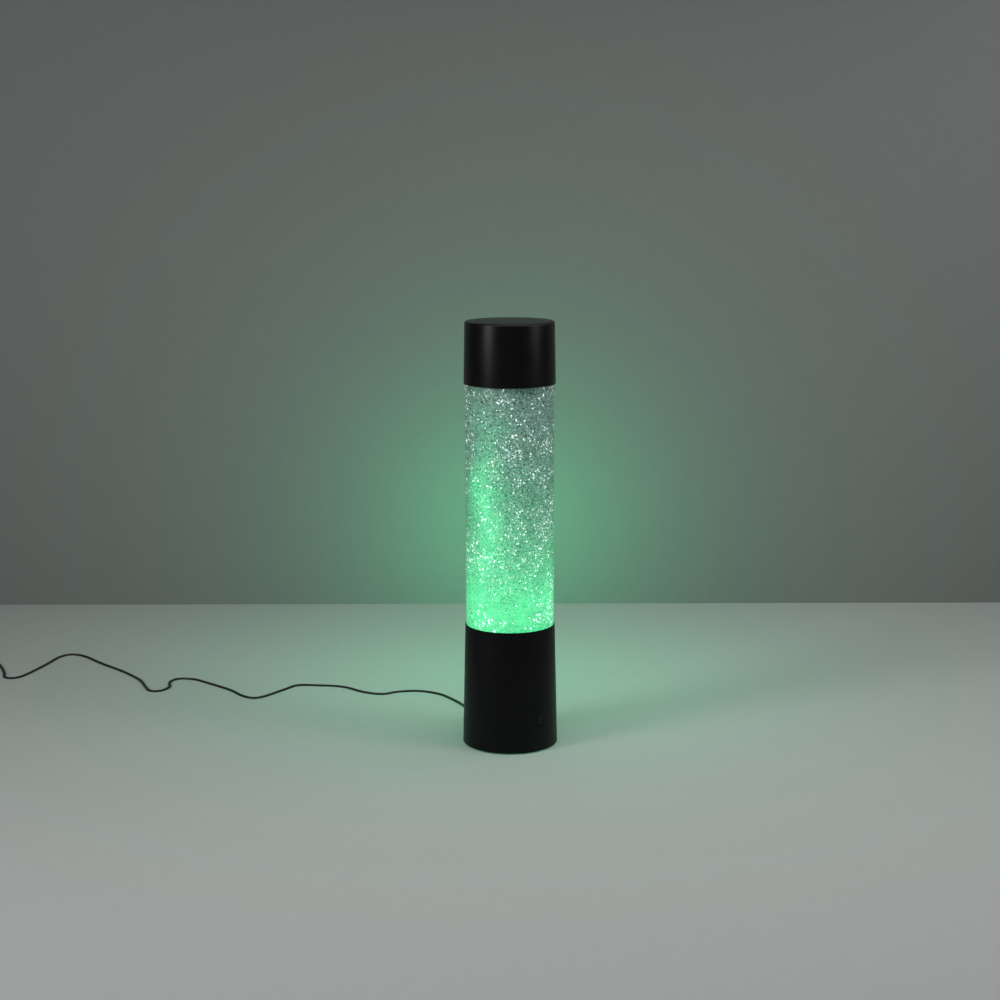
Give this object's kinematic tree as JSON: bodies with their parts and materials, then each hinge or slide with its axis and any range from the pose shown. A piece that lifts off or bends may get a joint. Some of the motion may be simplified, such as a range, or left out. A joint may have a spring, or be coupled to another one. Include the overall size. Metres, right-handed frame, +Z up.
{
  "type": "glitter lamp",
  "caption": "Glitter lamp: a clear tube of liquid glitter lit and stirred from a tapered black base, with a press-on cap, a push button and a thin flat supply cord.",
  "frame": {"origin": "on the tube's axis, at the surface the lamp stands on", "axes": "+Z up along the tube's axis, the push button faces -Y and the supply cord leaves at +Y"},
  "size_m": [0.3074, 0.6094, 0.362],
  "materials": {
    "base_plastic": "satin moulded ABS",
    "cap_plastic": "satin moulded ABS",
    "button_plastic": "moulded ABS",
    "inner_plastic": "moulded ABS",
    "white_plastic": "moulded",
    "clear_acrylic": "polished clear acrylic",
    "glitter_liquid": "clear liquid lit green, full of glitter",
    "rubber": "moulded",
    "screw_steel": "zinc plated",
    "bright_steel": "ground",
    "magnet": "nickel plated",
    "circuit_board": "solder mask",
    "electronics": "moulded",
    "light_emitter": "moulded, lit",
    "wire_insulation": "extruded",
    "cord_jacket": "extruded soft vinyl",
    "tie_plastic": "moulded",
    "plug_plastic": "moulded soft vinyl",
    "plug_steel": "nickel plated",
    "plug_insulator": "moulded",
    "plug_contact": "plated"
  },
  "bodies": {
    "lamp": {"base_shell": "base_plastic", "base_plate": "inner_plastic", "cord_clamp": "inner_plastic", "tube_lid": "inner_plastic", "motor_plate": "white_plastic", "light_reflector": "white_plastic", "board_connectors": "white_plastic", "clear_tube": "clear_acrylic", "tube_floor": "clear_acrylic", "liquid": "glitter_liquid", "foot_pads": "rubber", "tube_gasket": "rubber", "lid_seal": "rubber", "filler_plug": "rubber", "cord_gland": "rubber", "plate_screws": "screw_steel", "board_screws": "screw_steel", "motor_plate_screws": "screw_steel", "motor_screws": "screw_steel", "led_board_screws": "screw_steel", "clamp_screws": "screw_steel", "pivot_pin": "bright_steel", "motor_can": "bright_steel", "switch_spring": "bright_steel", "control_board": "circuit_board", "led_board": "circuit_board", "board_parts": "electronics", "switch_housing": "electronics", "led_emitters": "light_emitter", "motor_wires": "wire_insulation", "led_wires": "wire_insulation", "inner_lead": "cord_jacket", "supply_cord": "cord_jacket", "cord_coil": "cord_jacket", "cord_tail": "cord_jacket", "cord_tie": "tie_plastic", "plug_grip": "plug_plastic", "plug_shell": "plug_steel", "plug_tongue": "plug_insulator", "plug_contacts": "plug_contact"},
    "button": {"push_button": "button_plastic", "switch_plunger": "white_plastic"},
    "motor_rotor": {"motor_shaft": "bright_steel", "magnet_carrier": "white_plastic", "drive_magnets": "magnet"},
    "stirrer": {"stirring_rotor": "white_plastic", "rotor_magnets": "magnet"},
    "cap": {"top_cap": "cap_plastic"}
  },
  "joints": [
    {"name": "button_press", "type": "slide", "parent": "lamp", "child": "button", "axis": [0, 1, 0], "range_m": [0, 0.0015], "stiffness_N_per_m": 600, "springref_m": -0.001, "deforming": ["switch_spring"]},
    {"name": "rotor_spin", "type": "hinge", "parent": "lamp", "child": "motor_rotor", "pos_m": [0, 0, 0.08], "axis": [0, 0, 1], "continuous": true},
    {"name": "stirrer_spin", "type": "hinge", "parent": "lamp", "child": "stirrer", "pos_m": [0, 0, 0.1], "axis": [0, 0, 1], "continuous": true},
    {"name": "cap_lift", "type": "slide", "parent": "lamp", "child": "cap", "axis": [0, 0, 1], "range_m": [0, 0.08]}
  ],
  "couplings": [
    {"joint": "stirrer_spin", "follows": "rotor_spin", "ratio": 1}
  ]
}
